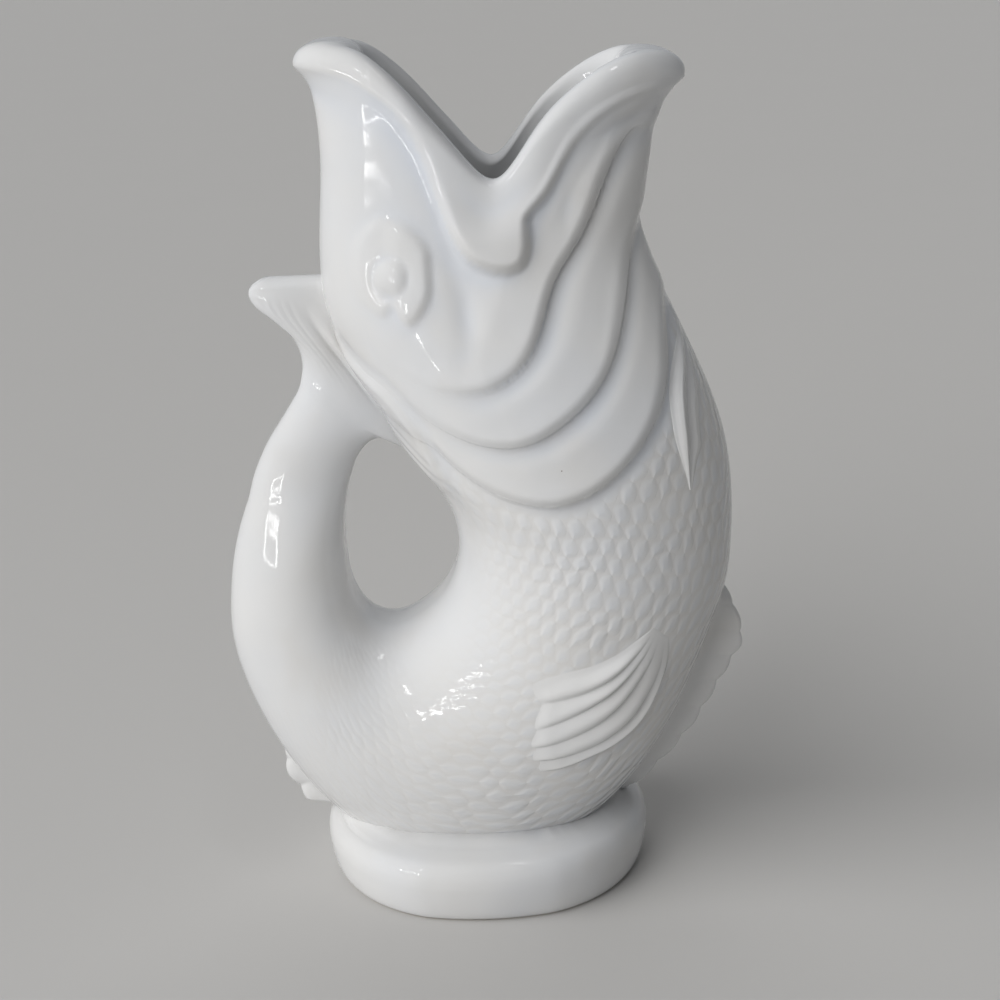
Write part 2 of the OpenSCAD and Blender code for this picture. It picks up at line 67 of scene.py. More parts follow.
# A station counts from 0 at the rim of the mouth, round under the belly, to 24 at the tail. A turn counts
# round a section in degrees, from 0 on the belly line to 180 on the back line.
fish = {
    "high": 245.0, "long": 150.0, "wide": 79.0, "wall": 5.0, "finRoot": 7.0, "seat": 20.0,
    # for each station: back x, back z, belly x, belly z, half width, dip of the flanks
    "sections": [
        (-0.298, 0.983, 0.386, 0.962, 0.290, 0.134), (-0.273, 0.929, 0.337, 0.904, 0.325, 0.100),
        (-0.268, 0.869, 0.312, 0.844, 0.355, 0.078), (-0.278, 0.803, 0.302, 0.787, 0.385, 0.052),
        (-0.282, 0.735, 0.343, 0.718, 0.415, 0.028), (-0.264, 0.683, 0.394, 0.649, 0.440, 0.010),
        (-0.229, 0.635, 0.439, 0.583, 0.465, 0), (-0.189, 0.592, 0.464, 0.522, 0.480, 0),
        (-0.150, 0.543, 0.471, 0.464, 0.490, 0), (-0.101, 0.507, 0.469, 0.416, 0.497, 0),
        (-0.063, 0.467, 0.460, 0.365, 0.500, 0), (-0.051, 0.414, 0.408, 0.275, 0.500, 0),
        (-0.081, 0.360, 0.330, 0.165, 0.487, 0), (-0.142, 0.328, 0.178, 0.055, 0.455, 0),
        (-0.188, 0.319, -0.039, 0.010, 0.410, 0), (-0.230, 0.328, -0.222, 0.035, 0.360, 0),
        (-0.259, 0.355, -0.360, 0.110, 0.315, 0), (-0.271, 0.391, -0.452, 0.205, 0.278, 0),
        (-0.272, 0.440, -0.500, 0.299, 0.245, 0), (-0.265, 0.472, -0.498, 0.370, 0.215, 0),
        (-0.257, 0.497, -0.479, 0.434, 0.185, 0), (-0.250, 0.509, -0.442, 0.495, 0.160, 0),
        (-0.232, 0.532, -0.406, 0.537, 0.140, 0), (-0.212, 0.543, -0.378, 0.564, 0.125, 0),
        (-0.185, 0.549, -0.357, 0.583, 0.115, 0),
    ],
    "railSoft": 15,
    "rimEvery": 15,  # degrees from one dip of the rim to the next, from the belly to the back
    "rimDips": [-0.12, -0.116, -0.1, -0.06, 0.09, 0.4, 0.93, 0.56, 0.16, -0.055, -0.11, -0.14, -0.142],
    "rimSoft": 3.5, "rimFade": 2.5,
    # the jaws' tips: clay inside, fall of the skin and narrowing, and the station that each ends at
    "snoutFill": 14.0, "fillEnd": 1.6, "snoutDrop": 3.0, "dropEnd": 0.6,
    "snoutNarrow": 0.26, "narrowEnd": 2.2,
    "probe": (0.03, 0.5),  # station and turn either way that a slope is measured over
}


def curveAlong(table, s):  # Catmull-Rom through the rows of a table
    table = np.asarray(table, float)
    s = np.asarray(s, float)
    last = len(table) - 1
    i = np.clip(np.floor(s).astype(int), 0, last - 1)
    t = s - i
    if table.ndim > 1:
        t = t[..., None]
    a, b, c, d = (table[np.clip(i + k, 0, last)] for k in (-1, 0, 1, 2))
    return b + (c - a) * t / 2 + (a * 2 - b * 5 + c * 4 - d) * t * t / 2 + (b * 3 - a - c * 3 + d) * t ** 3 / 2


def soften(values, sigma):  # a moving mean that keeps both ends where they are
    reach = int(3 * sigma)
    k = np.exp(-0.5 * (np.arange(-reach, reach + 1) / sigma) ** 2)
    k /= k.sum()
    head = 2 * values[0] - values[reach:0:-1]
    tail = 2 * values[-1] - values[-2:-reach - 2:-1]
    return np.convolve(np.concatenate([head, values, tail]), k, mode="valid")


railStep = 0.02
lastStation = len(fish["sections"]) - 1
railAt = np.arange(0, lastStation + railStep / 2, railStep)
rails = np.stack([soften(column, fish["railSoft"]) for column in curveAlong(fish["sections"], railAt).T], 1)
dipAt = np.arange(0, 181, 1.0)
rimDip = soften(curveAlong(fish["rimDips"], dipAt / fish["rimEvery"]), fish["rimSoft"])


def joined(runs):  # evenly spaced places through every (start, stop, count), each shared end once
    return np.concatenate([np.linspace(*run)[:-1] for run in runs[:-1]] + [np.linspace(*runs[-1])])


def smooth01(x):
    x = np.clip(x, 0, 1)
    return x * x * (3 - 2 * x)


def ramp(x, start, over):  # rises softly from 0 at start to 1; a negative over rises the other way
    return smooth01((x - start) / over)


def bell(x, wide):
    return np.exp(-(x / wide) ** 2)


def tapered(run, steepness):  # fades out towards both ends of a path
    return smooth01(np.minimum(run, 1 - run) * steepness)


def tipShare(t):
    return np.cos(np.radians(t)) ** 4


def skinPoint(s, t, side, strip=1.0, inset=0.0):
    # side -1 is the near flank; strip < 1 lies on the middle line; inset is the depth in the wall
    s, t, side, strip = np.broadcast_arrays(np.asarray(s, float), t, side, strip)
    backX, backZ, bellyX, bellyZ, wide, sag = (np.interp(s, railAt, rail) for rail in rails.T)
    backX, bellyX = backX * fish["long"], bellyX * fish["long"]
    backZ, bellyZ = backZ * fish["high"], bellyZ * fish["high"]
    span = np.hypot(bellyX - backX, bellyZ - backZ)
    runX, runZ = (bellyX - backX) / span, (bellyZ - backZ) / span
    wide = wide * fish["wide"] - inset
    edge = np.minimum(fish["finRoot"] / 2, wide / 2)
    tip = inset / fish["wall"] * fish["snoutFill"] * tipShare(t) * np.clip(1 - s / fish["fillEnd"], 0, 1)
    out = (span / 2 - inset - tip) * np.cos(np.radians(t))
    dip = np.interp(t, dipAt, rimDip)
    fade = smooth01(s / fish["rimFade"])
    dip = dip * (1 - fade) + np.sin(np.radians(t)) ** 2 * fade
    fall = fish["snoutDrop"] * tipShare(t) * np.clip(1 - s / fish["dropEnd"], 0, 1)
    narrow = 1 - fish["snoutNarrow"] * tipShare(t) * (1 - smooth01(s / fish["narrowEnd"]))
    return np.stack([
        (backX + bellyX) / 2 + runX * out,
        side * (edge * strip + (wide - edge) * narrow * np.sin(np.radians(t))),
        (backZ + bellyZ) / 2 + runZ * out - sag * fish["high"] * dip - fall], -1)


def skinNormal(s, t):  # way out of the near flank
    ds, dt = fish["probe"]
    t = np.clip(t, 1, 179)
    a = skinPoint(s + ds, t, -1) - skinPoint(np.maximum(s - ds, 0), t, -1)
    b = skinPoint(s, t + dt, -1) - skinPoint(s, t - dt, -1)
    n = np.cross(b, a)
    return n / np.linalg.norm(n, axis=-1, keepdims=True)


# Reliefs on the skin: paths are lists of (station, turn), and the rest is in millimetres.
relief = {
    "foldHigh": 2.6,
    # station of each crease, from the belly to the back
    "every": 20,
    "folds": [
        [1.15, 1.15, 1.1, 2.62, 4.45, 5.47, 5.7, 5.2, 4.6, 4.1],
        [2.6, 2.87, 3.8, 5.0, 6.0, 6.76, 6.82, 6.2, 5.6, 5.4],
        [4.0, 4.25, 5.37, 6.48, 7.5, 8.1, 7.98, 7.15, 6.8, 6.7],
    ],
    # how much of each fold there is at the same turns
    "foldShares": [
        [0.15, 0.35, 0.7, 1, 1, 0.82, 0.22, 0, 0, 0],
        [0.35, 0.75, 1, 1, 1, 0.95, 0.45, 0.04, 0, 0],
        [0.35, 0.75, 1, 1, 1, 0.95, 0.7, 0.3, 0.05, 0],
    ],
    # the edge of the upper lip, its drop at the corner of the mouth, and the rolled rim of the lower jaw
    "lip": [
        (-0.9, 184), (0.50, 182), (0.50, 172), (0.39, 150), (0.36, 138), (0.40, 130), (0.50, 121), (0.76, 113),
        (1.22, 107.5), (1.72, 103), (2.18, 97), (2.48, 89.5), (2.58, 82), (2.42, 76.6), (2.0, 75.2), (1.66, 76),
        (1.46, 76.6), (1.24, 71.2), (0.98, 67.2), (0.76, 62.5), (0.64, 55), (0.58, 44), (0.56, 30), (0.6, 12),
        (0.6, -5), (-0.9, -8)],
    "lipHigh": 2.7, "lipDrop": 1.9, "jawHigh": 2.1,
    "jawGroove": [(1.62, 73), (1.42, 69.5), (1.16, 64.5), (0.98, 59), (0.9, 50), (0.86, 40), (0.88, 25), (0.9, 8)],
    "jawFlute": [(0.84, 22), (0.88, 34), (1.0, 47), (1.16, 55), (1.34, 60), (1.6, 62.5), (2.0, 64)],
    "eye": (3.12, 123.0),
    "noseHigh": 2.6, "ballWide": 4.2, "ballHigh": 0.85, "socketOff": 0.7,
    "socketDeep": 0.2,
    "lid": [
        (2.46, 108), (3.2, 107.4), (3.78, 112.5), (4.1, 118), (4.06, 121.5), (3.84, 124), (4.06, 128), (4.06, 134),
        (3.8, 142), (3.0, 144), (2.4, 138), (2.0, 128), (1.9, 117), (2.1, 110)],
    "lidHigh": 1.25,
    "lidNotch": [(3.5, 124.5), (3.7, 123.5), (3.9, 123.5), (4.15, 124)],
    "napeRidge": [(4.7, 172), (5.3, 164), (5.7, 154), (6.0, 145), (6.45, 140), (7.2, 138), (8.1, 138), (9.0, 142)],
    "napeHigh": 1.5,
    "napeFlute": [(7.2, 172), (7.38, 157), (7.62, 149), (7.9, 142.5), (8.3, 141), (8.9, 146), (9.6, 154)],
    "cheek": [(1.5, 111), (1.85, 106), (2.3, 101.5), (2.9, 98), (3.54, 97.2), (4.2, 99.5), (4.8, 104.5), (5.3, 111)],
    # steps, depth and width of the cut along each of those paths, and how steeply it ends
    "cuts": {
        "jawGroove": (120, 0.55, 2.2, 5), "jawFlute": (120, 0.6, 2.4, 5), "napeFlute": (100, 0.35, 1.3, 4),
        "cheek": (80, 0.6, 3.3, 3)},
    "fluteShifts": (0.0, 0.42),  # stations along the fish
    "rimRise": 13.0,  # a station that a path runs on over the rim
    "pathReach": 2.4,  # stations; places beyond it count as far off
    "farOff": 99.0,
}


def rimward(s):  # paths that leave the mouth run on upwards over its rim
    return np.minimum(s, 0)[..., None] * np.array([0, 0, -relief["rimRise"]])


def tracePath(points, steps=160, closed=False):  # a smooth path of (station, turn) through the points
    table = np.array(points + points[:3] if closed else points, float)
    u = np.linspace(1, len(points) + 1, steps) if closed else np.linspace(0, len(points) - 1, steps)
    return curveAlong(table, u)


class Flank:  # places on the near flank that a relief is worked out for
    def __init__(self, s, t):
        self.s, self.t = np.broadcast_arrays(np.asarray(s, float), np.asarray(t, float))
        self.points = skinPoint(self.s, self.t, -1)
        self.out = skinNormal(self.s, self.t)

    def distance(self, path, closed=False):  # positive on one side of the path, or inside it
        s, t = self.s.ravel(), self.t.ravel()
        first, last = path[:, 0].min() - relief["pathReach"], path[:, 0].max() + relief["pathReach"]
        pick = np.nonzero((s > first) & (s < last))[0]
        line = skinPoint(np.maximum(path[:, 0], 0), path[:, 1], -1) + rimward(path[:, 0])
        p = self.points.reshape(-1, 3)[pick]
        best = np.full(len(pick), np.inf)
        index = np.zeros(len(pick), int)
        for k in range(len(line)):
            d = ((p - line[k]) ** 2).sum(1)
            closer = d < best
            best[closer] = d[closer]
            index[closer] = k
        if closed:
            inside = np.zeros(len(pick), bool)
            ps, pt = s[pick], t[pick]
            for k in range(len(path)):
                (s0, t0), (s1, t1) = path[k - 1], path[k]
                if t0 != t1:
                    inside ^= ((t0 > pt) != (t1 > pt)) & (ps < s0 + (s1 - s0) * (pt - t0) / (t1 - t0))
            sign = np.where(inside, 1.0, -1.0)
        else:
            step = np.gradient(line, axis=0)[index]
            sign = np.sign((np.cross(p - line[index], step) * self.out.reshape(-1, 3)[pick]).sum(1))
        d = np.full(self.s.size, -relief["farOff"] if closed else relief["farOff"])
        d[pick] = np.sqrt(best) * sign
        run = np.zeros(self.s.size)
        run[pick] = index / (len(line) - 1)
        return d.reshape(self.s.shape), run.reshape(self.s.shape)


creaseTurns = np.arange(0, 181, 1.5)
creases = [soften(curveAlong(row, creaseTurns / relief["every"]), 3) for row in relief["folds"]]
tableTurns = np.arange(len(relief["folds"][0])) * relief["every"]


def creaseAt(row, t):
    return np.interp(t, creaseTurns, creases[row])


def foldRelief(flank):
    soft = 4.8 + 2.4 * ramp(flank.t, 66, -26)
    high = np.zeros_like(flank.s)
    for row, crease in enumerate(creases):
        share = np.interp(flank.t, tableTurns, relief["foldShares"][row])
        d, _ = flank.distance(np.stack([crease, creaseTurns], 1))
        d = np.abs(d) * np.where(flank.s < creaseAt(row, flank.t), 1, -1)  # positive on the fold itself
        lift = smooth01((d + 0.3 * soft) / soft) * (0.3 + 0.7 * np.exp(-np.maximum(d, 0) / 9.5))
        fold = lift * ramp(np.abs(d), 22, -10) - 0.2 * bell(d + 2.6, 2.4)
        high = high + relief["foldHigh"] * share * fold
    return high


def lipRelief(flank, high):  # one raised band: upper lip, drop and rolled rim of the lower jaw
    d, _ = flank.distance(tracePath(relief["lip"], 420, True), True)
    drop = ramp(flank.s, 0.9, 0.9) * ramp(flank.t, 66, 8)
    jaw = 1 - ramp(flank.t, 60, 18)
    soft = 3.2 + 1.8 * ramp(flank.t, 76, 20) * (1 - drop) + 0.6 * drop + 1.2 * jaw
    lip = smooth01((d + 1.2 + 1.1 * (1 - drop)) / soft)
    lip = lip * (relief["lipHigh"] * (1 - jaw) + relief["jawHigh"] * jaw + relief["lipDrop"] * drop)
    folded = np.maximum(high, 0) * (1 - ramp(d, -0.5, 3)) + np.minimum(high, 0)
    return folded + lip * (1 - tipShare(flank.t))


def cutAlong(flank, high, name, shift=0.0):
    steps, deep, wide, taper = relief["cuts"][name]
    d, run = flank.distance(tracePath([(s + shift, turn) for s, turn in relief[name]], steps))
    return high - deep * bell(d, wide) * tapered(run, taper)


def jawRelief(flank, high):  # the groove under the jaw's rim and the flute beside it
    return cutAlong(flank, cutAlong(flank, high, "jawGroove"), "jawFlute")


def noseRelief(flank, high):  # both jaws end in a blunt nose
    return high + relief["noseHigh"] * tipShare(flank.t) * (1 - ramp(flank.s, 0.36, 0.56))


def eyeRelief(flank, high):  # a ball in a lid of two lobes
    d, _ = flank.distance(tracePath(relief["lid"], 240, True), True)
    r = np.linalg.norm(flank.points - skinPoint(*relief["eye"], -1), axis=-1)
    lobes = 0.6 + 0.45 * ramp(flank.t, 128, -9)  # the lobe towards the mouth is the fuller one
    lid = smooth01((d + 0.5) / (3.0 + 3.0 * ramp(flank.t, 128, 10))) * relief["lidHigh"] * lobes
    notch, _ = flank.distance(tracePath(relief["lidNotch"], 60))
    lid = lid * (1 - 0.28 * bell(notch, 2.0))
    off = relief["socketOff"]
    socket = bell(r - relief["ballWide"] - off, 1.3) * smooth01(d / 2)
    ball = np.clip(1 - (r / (relief["ballWide"] + off)) ** 2, 0, 1) ** 0.8
    return high * (1 - ramp(d, -0.6, 4)) + lid - relief["socketDeep"] * socket + relief["ballHigh"] * ball


def napeRelief(flank, high):  # the lobe of the tail fin that lies along the nape, and the flutes under it
    path = tracePath(relief["napeRidge"])
    d, run = flank.distance(path)
    backward = flank.t > np.interp(flank.s, path[:, 0], path[:, 1])
    d = np.where(backward, np.abs(d), -np.abs(d))
    nape = ramp(d, -0.6, 3.4) * np.exp(-np.maximum(d, 0) / 9) * ramp(d, 16, -8) * relief["napeHigh"]
    high = high + (nape - 0.45 * bell(d + 2.4, 2.0)) * tapered(run, 5)
    for shift in relief["fluteShifts"]:
        high = cutAlong(flank, high, "napeFlute", shift)
    return high


def cheekRelief(flank, high):  # a soft hollow between the cheek and the gills
    return cutAlong(flank, high, "cheek")


def reliefAt(flank):
    high = foldRelief(flank)
    for part in (lipRelief, jawRelief, noseRelief, eyeRelief, napeRelief, cheekRelief):
        high = part(flank, high)
    return high


mergeWithin = 2e-6  # metres


def addSheet(name, points, maps=None, attributes=None):
    # rows and columns of points; places that coincide are merged, so that a sheet wraps into a closed piece
    rows, columns = points.shape[:2]
    bpy.ops.mesh.primitive_grid_add(x_subdivisions=columns - 1, y_subdivisions=rows - 1, size=1)
    piece = bpy.context.object
    piece.name = piece.data.name = name
    mesh = piece.data
    assert len(mesh.vertices) == rows * columns
    mesh.vertices.foreach_set("co", (points.reshape(-1, 3) * milli).astype(np.float32).ravel())
    mesh.uv_layers[0].name = "skinMap"
    if maps is not None:
        corner = np.zeros(len(mesh.loops), np.int32)
        mesh.loops.foreach_get("vertex_index", corner)
        mesh.uv_layers[0].data.foreach_set("uv", maps.reshape(-1, 2)[corner].astype(np.float32).ravel())
    for key, values in (attributes or {}).items():
        mesh.attributes.new(key, "FLOAT", "POINT").data.foreach_set("value", values.astype(np.float32).ravel())
    mesh.update()
    bpy.ops.object.mode_set(mode="EDIT")
    bpy.ops.mesh.select_all(action="SELECT")
    bpy.ops.mesh.remove_doubles(threshold=mergeWithin)
    bpy.ops.object.mode_set(mode="OBJECT")
    return finishPiece(piece)


def finishPiece(piece, angle=None):
    shape = bmesh.new()
    shape.from_mesh(piece.data)
    openEdges = sum(1 for e in shape.edges if len(e.link_faces) != 2)
    if shape.calc_volume(signed=True) < 0:
        bmesh.ops.reverse_faces(shape, faces=shape.faces[:])
        shape.to_mesh(piece.data)
    print("  piece", piece.name, "faces", len(shape.faces), "open edges", openEdges)
    shape.free()
    bpy.ops.object.select_all(action="DESELECT")
    piece.select_set(True)
    bpy.context.view_layer.objects.active = piece
    if angle:
        bpy.ops.object.shade_smooth_by_angle(angle=math.radians(angle))
    else:
        bpy.ops.object.shade_smooth()
    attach(piece, "root")
    return piece


# millimetres along and half round the fish, and the degrees of a middle strip
skinMap = {"long": 500, "round": 144.0, "strip": 4.5}
arcStations = np.arange(0, lastStation + 0.01, 0.1)
arcPlaces = skinPoint(arcStations, 90.0, -1)
arcLengths = np.concatenate([[0], np.cumsum(np.linalg.norm(np.diff(arcPlaces, axis=0), axis=1))])


class Round:  # the columns once round the fish, near flank first, with the middle strips of belly and back
    def __init__(self, steps, strips):
        inner = np.arange(strips) / strips
        near = [(0, w) for w in inner] + [(t, 1.0) for t in np.linspace(0, 180, steps + 1)]
        near += [(180, w) for w in inner[::-1]]
        whole = [(t, -1, w) for t, w in near] + [(t, 1, w) for t, w in near[-2::-1]]
        self.t, self.side, self.strip = (np.array(c, float) for c in zip(*whole))
        self.half = len(near)
        self.count = len(whole)
        lean = (1 - self.strip) * skinMap["strip"]
        self.map = np.where(self.t < 90, self.t - lean, self.t + lean) / 180

    def ring(self, s, inset=0.0, floor=0.0):
        p = skinPoint(np.broadcast_to(s, self.count), self.t, self.side, self.strip, inset)
        p[:, 2] = np.maximum(p[:, 2], floor)
        return p

    def both(self, nearValues):  # values of the near columns, mirrored onto the far ones
        return np.concatenate([nearValues, nearValues[:, -2::-1]], 1)

    def skin(self, stations, dip):  # rows of the outer skin with its relief; stations is rows x near columns
        t, strip = self.t[:self.half], self.strip[:self.half]
        flank = Flank(stations, t[None, :])
        base = skinPoint(stations, t[None, :], -1, strip[None, :])
        out = flank.out.copy()
        out[:, strip < 1, 1] *= strip[strip < 1]
        out /= np.linalg.norm(out, axis=-1, keepdims=True)
        high = reliefAt(flank)
        p = base + out * (high + dip)[..., None]
        low = fish["seat"] - 2  # the belly is flat where it stands in the plinth
        p[..., 2] = np.where(base[..., 2] < low, low, p[..., 2])
        far = p[:, -2::-1].copy()
        far[..., 1] *= -1
        return np.concatenate([p, far], 1), high

    def maps(self, stations):
        along = np.interp(stations, arcStations, arcLengths) / skinMap["long"]
        return np.stack([along, np.broadcast_to(self.map, along.shape)], -1)


def pooled(high, rows, columns):  # glaze gathers in the hollows of the relief
    level = np.apply_along_axis(soften, 1, np.apply_along_axis(soften, 0, high, rows), columns)
    return np.clip((level - high) * 1.6, 0, 1)


# the skins of head and body overlap at the last crease: stations, then millimetres
seam = {"from": 0.35, "under": 0.03, "start": 0.02, "onto": 0.28, "deep": 0.12, "edge": 0.9, "proud": 0.004}
rimRoll = {"flank": 0.42, "tip": 0.35, "steps": 20, "round": 0.85, "pooled": 8}
head = {
    "columns": (200, 4),
    "rows": [52, 26, 24, 8],
    "crowding": 0.1,  # rows stand closer at the creases
    "inner": (6.3, 1.5, 22),
    "innerRows": 9,
    "poolSoft": (4, 4),
    "innerPool": 0.3,
}


def makeHead():
    ring = Round(*head["columns"])
    t = ring.t[:ring.half][None, :]
    last = creaseAt(2, t)
    top = rimRoll["flank"] + (rimRoll["tip"] - rimRoll["flank"]) * tipShare(ring.t)
    marks = [top[None, :ring.half], creaseAt(0, t), creaseAt(1, t), last, last + seam["onto"]]
    rows = []
    for k, n in enumerate(head["rows"]):
        f = np.linspace(0, 1, n + 1)[:-1 if k < 3 else None][:, None]
        if k in (1, 2):
            f = f - head["crowding"] * np.sin(2 * np.pi * f)
        rows.append(marks[k] + (marks[k + 1] - marks[k]) * f)
    stations = np.concatenate(rows)
    over = np.clip((stations - last - seam["start"]) / (seam["onto"] - seam["start"]), 0, 1)
    dip = np.where(over > 0, seam["proud"] - seam["deep"] * smooth01(over), seam["proud"])
    outer, high = ring.skin(stations, dip - seam["edge"] * (over >= 0.999))
    # the rim is a full round roll between the wall's inner and outer side
    inside = ring.ring(top, fish["wall"])
    crest = ring.ring(0, fish["wall"] / 2)
    crest[:, 2] += fish["snoutDrop"] * tipShare(ring.t)
    up = crest - (inside + ring.ring(top)) / 2
    middle, half = (outer[0] + inside) / 2, (outer[0] - inside) / 2
    rim = []
    for a in np.radians(np.linspace(180, 0, rimRoll["steps"] + 1))[1:-1]:
        across = math.copysign(abs(math.cos(a)) ** rimRoll["round"], math.cos(a))
        rim.append(middle + half * across + up * math.sin(a) ** rimRoll["round"])
    near, rows = head["inner"][1], head["innerRows"]
    inner = [ring.ring(s, fish["wall"]) for s in np.linspace(*head["inner"])[:-1]]
    inner += [ring.ring(near + (top - near) * f, fish["wall"]) for f in np.linspace(0, 1, rows)]
    points = np.array(inner + rim + list(outer) + inner[:1])
    before = len(inner) + len(rim)
    s = np.concatenate([np.zeros((before, ring.count)), ring.both(stations), np.zeros((1, ring.count))])
    pool = np.zeros(s.shape)
    pool[before:-1] = ring.both(pooled(high, *head["poolSoft"]))
    pool[:before - rimRoll["pooled"]] = head["innerPool"]
    return addSheet("headSkin", points, ring.maps(s), {"poolShare": pool})


body = {
    "columns": (110, 3),
    "upper": (9.2, 45),  # station that the rows follow the last crease to, and their number
    "lower": [(9.2, 13, 78), (13, 17, 52), (17, 20.8, 30)],
    "cavity": [(20, 16.5, 7), (16.5, 6.2, 18)],
    "floorFrom": 16.5,
    "blind": [(0.0, 1.0), (0.45, 0.92), (0.8, 0.6)],  # how wide the cavity's end is, and how far on
    "poolSoft": (3, 2),
    "hidden": 0.8,
}
scales = {
    "stops": [15.6, 15.6, 15.6, 15.6, 15.6, 15.2, 14.2, 12.8, 11.6, 11.2],
    "spread": [(0, 1), (60, 1), (100, 0.82), (125, 0.48), (150, 0.12), (165, 0)],  # turn, share
}


def makeBody():
    ring = Round(*body["columns"])
    t = ring.t[:ring.half][None, :]
    start = creaseAt(2, t) - seam["from"]
    plain, count = body["upper"]
    upper = start + (plain - start) * np.linspace(0, 1, count)[:-1][:, None]
    lower = joined(body["lower"])
    stations = np.concatenate([upper, np.broadcast_to(lower[:, None], (len(lower), t.shape[1]))])
    before = np.clip((creaseAt(2, t) - seam["under"] - stations) / (seam["from"] - seam["under"]), 0, 1)
    outer, high = ring.skin(stations, -seam["deep"] * smooth01(before) - foldHidden(stations, t))
    floor = fish["seat"] + fish["wall"]
    inner = [ring.ring(s, fish["wall"], floor if s < body["floorFrom"] else 0) for s in joined(body["cavity"])]
    middle = inner[0].mean(0)
    step = (inner[0].mean(0) - inner[1].mean(0)) * 0.5
    blind = [middle + (inner[0] - middle) * k + step * g for k, g in body["blind"]]
    neck = neckRows()
    fan = [neckRing(ring, neck, u) for u in np.linspace(1, len(neck) - 1, tailFan["steps"] + 1)[1:]]
    end = [neckRing(ring, neck, len(neck) - 1, cap) for cap in tailFan["caps"]]
    points = np.array(blind + inner + list(outer) + fan + end)
    first = len(blind) + len(inner)
    rest = np.full((len(fan) + len(end), ring.count), lastStation)
    s = np.concatenate([np.zeros((first, ring.count)), ring.both(stations), rest])
    shown = slice(first, first + len(stations))
    share, pool = np.zeros(s.shape), np.zeros(s.shape)
    share[shown] = ring.both(scaleShare(stations, t))
    pool[shown] = ring.both(pooled(high, *body["poolSoft"]))
    return addSheet("bodySkin", points, ring.maps(s), {"poolShare": pool, "scaleShare": share})


def foldHidden(stations, t):  # the body's skin stays under the last fold
    share = np.interp(t, tableTurns, relief["foldShares"][2])
    return body["hidden"] * share * ramp(stations, creaseAt(2, t) - 0.02, -0.2)


def scaleShare(s, t):  # where the scales show: below the last fold, fading towards the tail and the back
    stop = np.interp(t, tableTurns, scales["stops"])
    spread = np.interp(t, *zip(*scales["spread"]))
    share = ramp(s, stop, -3.4) * 0.65 + ramp(s, 17.8, -3) * 0.35
    return smooth01((s - creaseAt(2, t) - 0.12) / 0.35) * share * spread


tailFan = {
    "from": 20.8,
    # back edge x, z, outer edge x, z and half the thickness, from the handle up to the free end
    "rows": [
        (-37.0, 126.2, -64.9, 126.4, 12.2), (-35.5, 130.0, -61.0, 134.4, 11.2), (-33.0, 133.2, -56.8, 140.6, 10.4),
        (-30.0, 135.0, -53.5, 145.5, 9.8), (-26.8, 134.9, -51.0, 149.6, 9.2), (-23.4, 132.8, -49.8, 153.6, 8.7),
        (-20.4, 132.0, -49.4, 157.4, 8.4), (-22.6, 138.6, -50.3, 161.9, 7.9), (-28.0, 148.0, -53.0, 166.5, 7.2),
        (-33.6, 158.4, -57.4, 170.4, 6.5), (-37.7, 167.4, -61.2, 173.6, 5.8), (-39.9, 174.4, -62.7, 176.4, 5.2),
        (-40.6, 178.2, -62.7, 178.2, 4.6)],
    "steps": 96,
    "caps": (0.2, 0.4, 0.6, 0.8, 0.92, 1.0),
    "thin": 0.6, "tipRise": 3.5, "tipRound": 3.4,
    "ridge": (3.8, 2.4, 1.9),  # place from the back edge, spread and height
    "crease": (7.8, 1.4, -0.8),
    "flutes": 9, "fluteDeep": 0.10,
}


def neckRows():  # carries the handle's last sections on into the fan
    rows = []
    for s in (tailFan["from"] - 0.4, tailFan["from"]):
        back, belly = skinPoint(s, 180.0, -1), skinPoint(s, 0.0, -1)
        rows.append((back[0], back[2], belly[0], belly[2], -skinPoint(s, 90.0, -1)[1]))
    return np.array(rows + tailFan["rows"])


def neckRing(ring, rows, u, cap=0.0):  # cap rounds the free end off
    backX, backZ, outX, outZ, half = curveAlong(rows, u)
    neck, fan = ramp(u, 1, 5), ramp(u, 8.6, 3)
    fine = ramp(u, 8, 3) * ramp(u, len(rows) - 1.3, -1.6)
    line = fan * ramp(u, len(rows) - 1.8, -3)
    length = math.hypot(outX - backX, outZ - backZ)
    way = np.array([outX - backX, outZ - backZ]) / length
    up = np.array([way[1], -way[0]])
    sine, share = np.sin(np.radians(ring.t)), (1 + np.cos(np.radians(ring.t))) / 2
    edge = fish["finRoot"] / 2 * (1 - tailFan["thin"] * share * neck)
    y = edge * ring.strip + (half - edge) * sine
    thick = edge + (half - edge) * sine
    q = share * length
    for place, wide, high in (tailFan["ridge"], tailFan["crease"]):
        y = y + high * bell(q - place, wide) * line * ring.strip
    y = y + 1.5 * np.exp(-q / 1.7) * fan * ring.strip  # the back edge itself
    flutes = 0.5 - 0.5 * np.cos(2 * math.pi * tailFan["flutes"] * (1 - share))
    y = y - tailFan["fluteDeep"] * flutes * fine * ramp(share, 0.3, 0.25) * ramp(share, 1, -0.05)
    turn = math.asin(cap)
    q = share * (length - tailFan["tipRound"] * (1 - math.cos(turn)))
    lift = np.minimum(tailFan["tipRise"], thick * 0.95) * cap
    place = np.array([backX, backZ]) + way * q[:, None] + up * lift[:, None]
    return np.stack([place[:, 0], y * math.cos(turn) * ring.side, place[:, 1]], -1)


headSkin = makeHead()
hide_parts("body_shell", "lip_near", "lip_far", "eye_near", "eye_far")
bodySkin = makeBody()
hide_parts("tail_handle", "tail_fin")
print("stage: skin wrapped")

